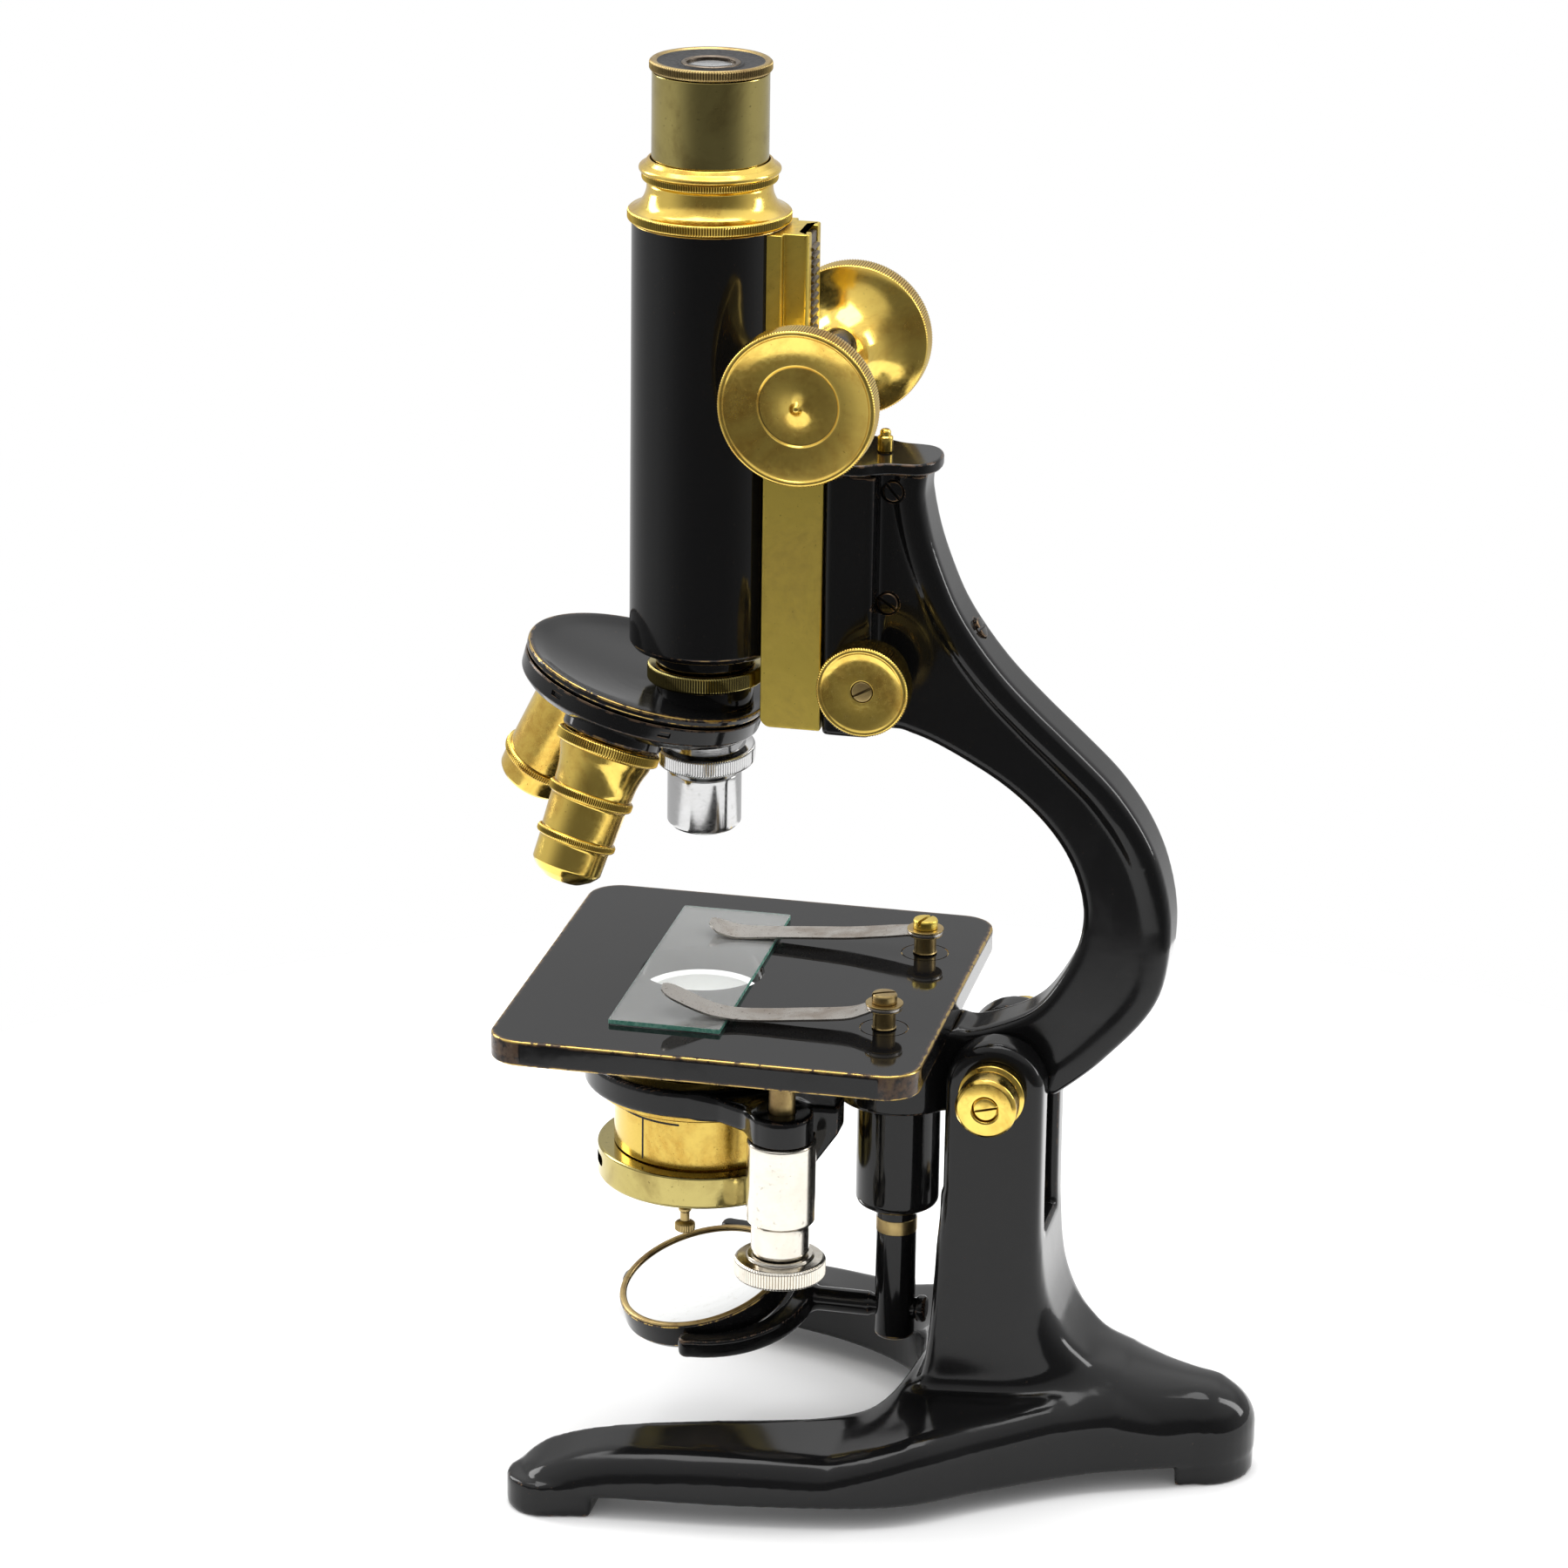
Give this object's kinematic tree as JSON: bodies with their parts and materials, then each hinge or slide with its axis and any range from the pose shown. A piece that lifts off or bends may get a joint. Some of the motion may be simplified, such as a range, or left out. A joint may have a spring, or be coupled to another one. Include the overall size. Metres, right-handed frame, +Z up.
{
  "type": "compound microscope",
  "caption": "Monocular compound microscope: inclining C-shaped limb on a horseshoe foot, rack focusing, revolving nosepiece, square stage, condenser and swinging mirror.",
  "frame": {"origin": "centre of the bounding box in plan, at the table the foot stands on", "axes": "+Z up along the tube with the limb upright, +X from the optical axis to the limb and heel, +Y to the left when facing the tube from the front toes"},
  "size_m": [0.185, 0.1275, 0.3278],
  "materials": {
    "black_enamel": "gloss black stoving enamel on cast metal",
    "brass": "polished lacquered brass, worn",
    "aged_brass": "brass darkened with age",
    "nickel": "polished nickel plate",
    "chrome": "satin and bright chrome plate",
    "steel": "bare steel, lightly stained",
    "glass": "clear polished glass",
    "mirror": "silvered plane glass"
  },
  "bodies": {
    "foot": {"foot_casting": "black_enamel", "slot_screw": "aged_brass", "inclination_axle": "steel", "inclination_boss_near": "brass", "inclination_boss_far": "brass", "boss_screw_near": "aged_brass"},
    "limb": {"limb_casting": "black_enamel", "limb_side_screw_upper": "black_enamel", "limb_side_screw_lower": "black_enamel", "limb_back_screw": "black_enamel", "limb_top_plate": "black_enamel", "top_plate_stud": "brass", "tail_sleeve": "black_enamel", "substage_rod": "steel", "stage_plate": "black_enamel", "clip_post_near": "brass", "clip_post_far": "brass", "clip_screw_near": "brass", "clip_screw_far": "brass"},
    "fine_drive": {"fine_focus_spindle": "steel", "fine_focus_knob_near": "brass", "fine_focus_knob_far": "brass", "fine_knob_screw": "aged_brass"},
    "fine_slide": {"slide_block": "brass", "pinion_housing": "black_enamel"},
    "coarse_drive": {"pinion_shaft": "steel", "coarse_knob_near": "brass", "coarse_knob_far": "brass"},
    "tube": {"tube_slide_bar": "brass", "focus_rack": "steel", "body_tube": "black_enamel", "bell_cap": "brass", "draw_tube_collar": "brass", "nosepiece_ring": "aged_brass", "nosepiece_dish": "black_enamel", "revolver_pivot_screw": "aged_brass"},
    "draw_tube": {"draw_tube": "brass"},
    "eyepiece": {"eyepiece_cap": "aged_brass", "eyepiece_tube": "brass", "eye_lens": "glass", "field_lens": "glass"},
    "revolver": {"revolver_plate": "black_enamel", "objective_chrome": "chrome", "objective_short": "brass", "objective_long": "brass"},
    "clip_near": {"stage_clip_near": "steel"},
    "clip_far": {"stage_clip_far": "steel"},
    "specimen": {"glass_slide": "glass"},
    "substage": {"substage_arm": "black_enamel", "condenser_barrel": "brass", "condenser_lens": "glass", "condenser_base_ring": "brass", "iris_plate": "steel", "substage_sleeve": "nickel"},
    "iris": {"iris_pin": "aged_brass"},
    "substage_drive": {"substage_knob": "nickel"},
    "mirror_tail": {"tail_rod": "black_enamel"},
    "mirror_fork": {"mirror_fork": "black_enamel"},
    "mirror": {"mirror_cell": "black_enamel", "mirror_glass": "mirror"}
  },
  "joints": [
    {"name": "inclination", "type": "hinge", "parent": "foot", "child": "limb", "pos_m": [0.03147, 0, 0.096], "axis": [0, 1, 0], "range_deg": [0, 90]},
    {"name": "fine_focus_turn", "type": "hinge", "parent": "limb", "child": "fine_drive", "pos_m": [0.00057, 0, 0.1923], "axis": [0, 1, 0], "range_deg": [-1080, 1080]},
    {"name": "fine_focus_travel", "type": "slide", "parent": "limb", "child": "fine_slide", "axis": [0, 0, 1], "range_m": [-0.0015, 0.0015]},
    {"name": "coarse_focus_turn", "type": "hinge", "parent": "fine_slide", "child": "coarse_drive", "pos_m": [-0.01363, 0, 0.2587], "axis": [0, 1, 0], "range_deg": [-340, 600]},
    {"name": "coarse_focus_travel", "type": "slide", "parent": "fine_slide", "child": "tube", "axis": [0, 0, 1], "range_m": [-0.0154, 0.0314]},
    {"name": "draw_tube_travel", "type": "slide", "parent": "tube", "child": "draw_tube", "axis": [0, 0, 1], "range_m": [-0.018, 0.05]},
    {"name": "eyepiece_travel", "type": "slide", "parent": "draw_tube", "child": "eyepiece", "axis": [0, 0, 1], "range_m": [0, 0.03]},
    {"name": "revolver_turn", "type": "hinge", "parent": "tube", "child": "revolver", "pos_m": [-0.05423, 0, 0.1861], "axis": [0.2588, 0, 0.9659], "continuous": true},
    {"name": "clip_near_turn", "type": "hinge", "parent": "limb", "child": "clip_near", "pos_m": [0.00717, -0.0245, 0.1155], "axis": [0, 0, 1], "range_deg": [-12, 60]},
    {"name": "clip_far_turn", "type": "hinge", "parent": "limb", "child": "clip_far", "pos_m": [0.00717, 0.0245, 0.1155], "axis": [0, 0, 1], "range_deg": [-60, 12]},
    {"name": "slide_shift", "type": "slide", "parent": "limb", "child": "specimen", "axis": [0, 1, 0], "range_m": [-0.012, 0.012]},
    {"name": "substage_travel", "type": "slide", "parent": "limb", "child": "substage", "axis": [0, 0, 1], "range_m": [-0.006, 0.0025]},
    {"name": "iris_turn", "type": "hinge", "parent": "substage", "child": "iris", "pos_m": [-0.04083, 0, 0.0605], "axis": [0, 0, 1], "range_deg": [-35, 35]},
    {"name": "substage_turn", "type": "hinge", "parent": "substage", "child": "substage_drive", "pos_m": [-0.01483, -0.031, 0.0545], "axis": [0, 0, 1], "range_deg": [-1440, 600]},
    {"name": "tail_turn", "type": "hinge", "parent": "limb", "child": "mirror_tail", "pos_m": [0.00647, 0, 0.0525], "axis": [0, 0, 1], "range_deg": [-20, 20]},
    {"name": "mirror_roll", "type": "hinge", "parent": "mirror_tail", "child": "mirror_fork", "pos_m": [-0.03923, 0, 0.0323], "axis": [1, 0, 0], "range_deg": [-30, 40]},
    {"name": "mirror_tilt", "type": "hinge", "parent": "mirror_fork", "child": "mirror", "pos_m": [-0.03923, 0, 0.0323], "axis": [0, 0.9767, 0.2147], "range_deg": [-75, 75]}
  ],
  "couplings": [
    {"joint": "fine_focus_turn", "follows": "fine_focus_travel", "rad_per_m": 12566},
    {"joint": "coarse_focus_turn", "follows": "coarse_focus_travel", "rad_per_m": 333.33},
    {"joint": "substage_turn", "follows": "substage_travel", "rad_per_m": 4188.8}
  ]
}
